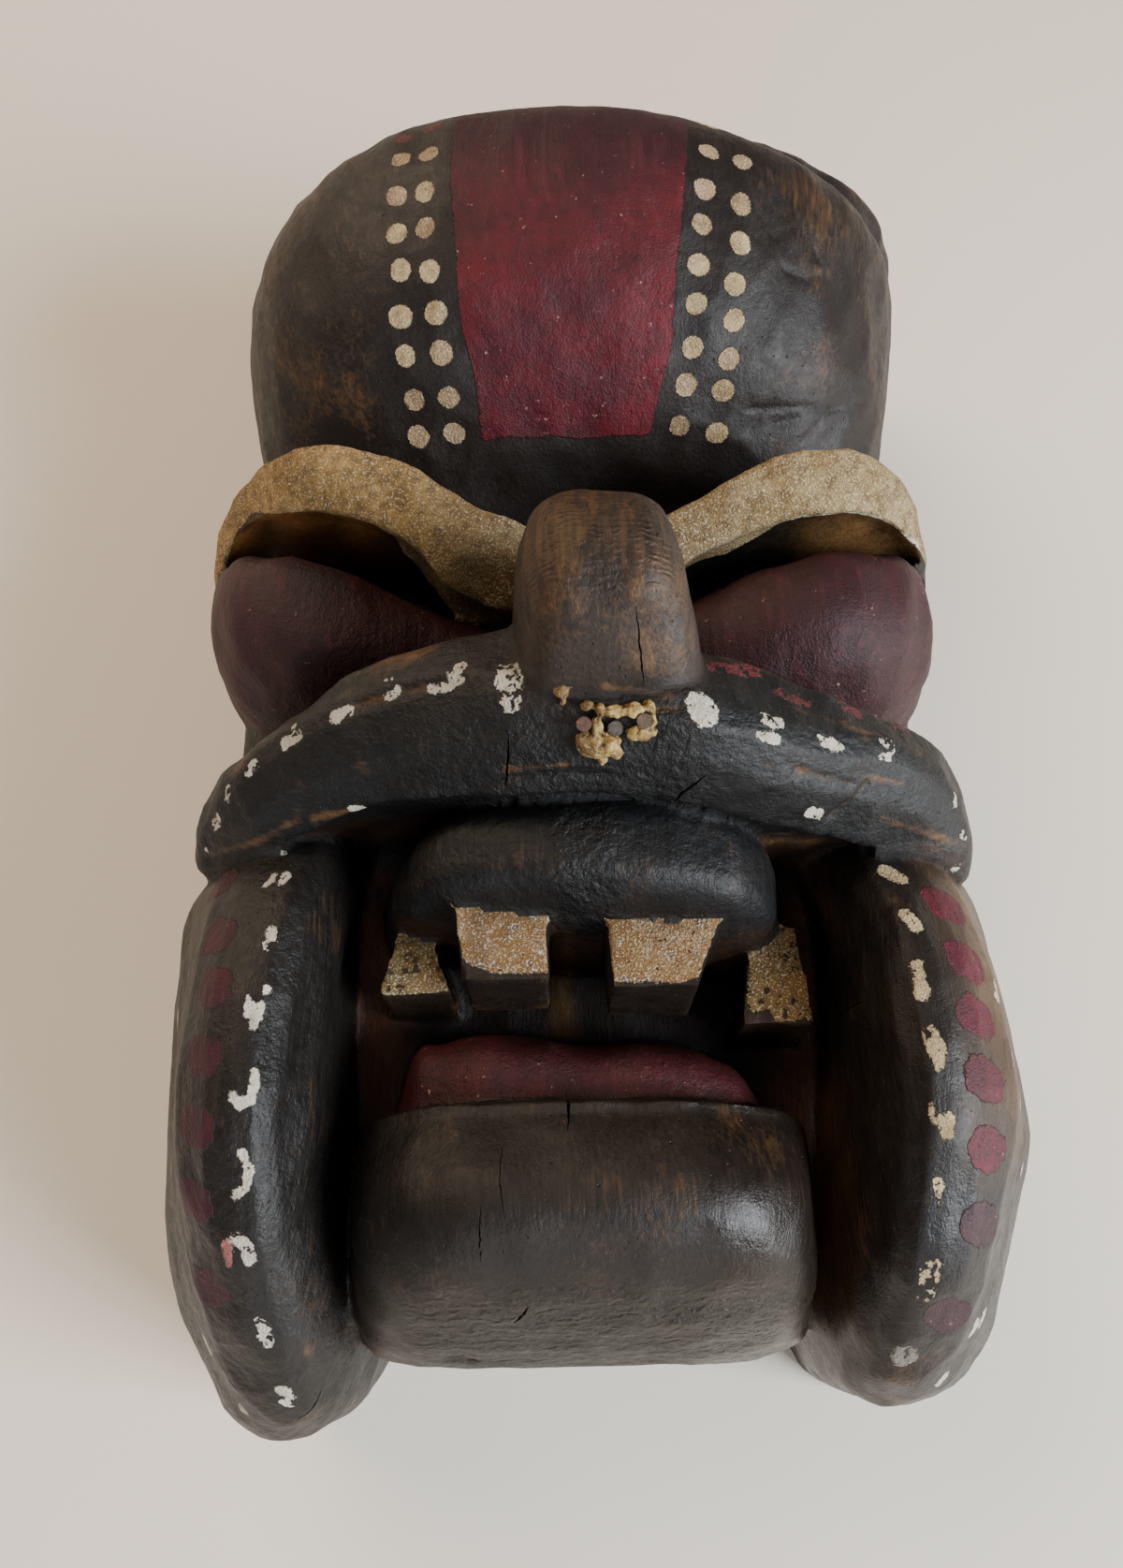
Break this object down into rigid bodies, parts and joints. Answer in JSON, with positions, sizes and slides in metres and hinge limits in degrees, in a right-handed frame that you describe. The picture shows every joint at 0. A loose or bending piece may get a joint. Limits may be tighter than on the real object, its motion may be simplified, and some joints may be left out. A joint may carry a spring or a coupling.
{
  "type": "carved wooden guere mask",
  "caption": "Heavy carved wooden mask with a domed forehead, painted brows, blunt nose, overhanging moustache, open toothed mouth and long curved jowls, hollow at the back.",
  "frame": {"origin": "middle of the outline, in the plane of the back rim that the mask lies on", "axes": "+Z out of the face, +Y from the chin to the crown, +X to the right of someone who looks at the face"},
  "size_m": [0.1994, 0.3314, 0.1621],
  "materials": {
    "stained_wood": "dark stained and painted, worn, soft gloss",
    "dried_hide": "dry and yellowed",
    "rusted_iron": "dull brown rust"
  },
  "bodies": {
    "root": {"mask": "stained_wood", "hide_scrap": "dried_hide", "hide_fleck": "dried_hide", "nail_left": "rusted_iron", "nail_middle": "rusted_iron", "nail_right": "rusted_iron"}
  },
  "joints": []
}
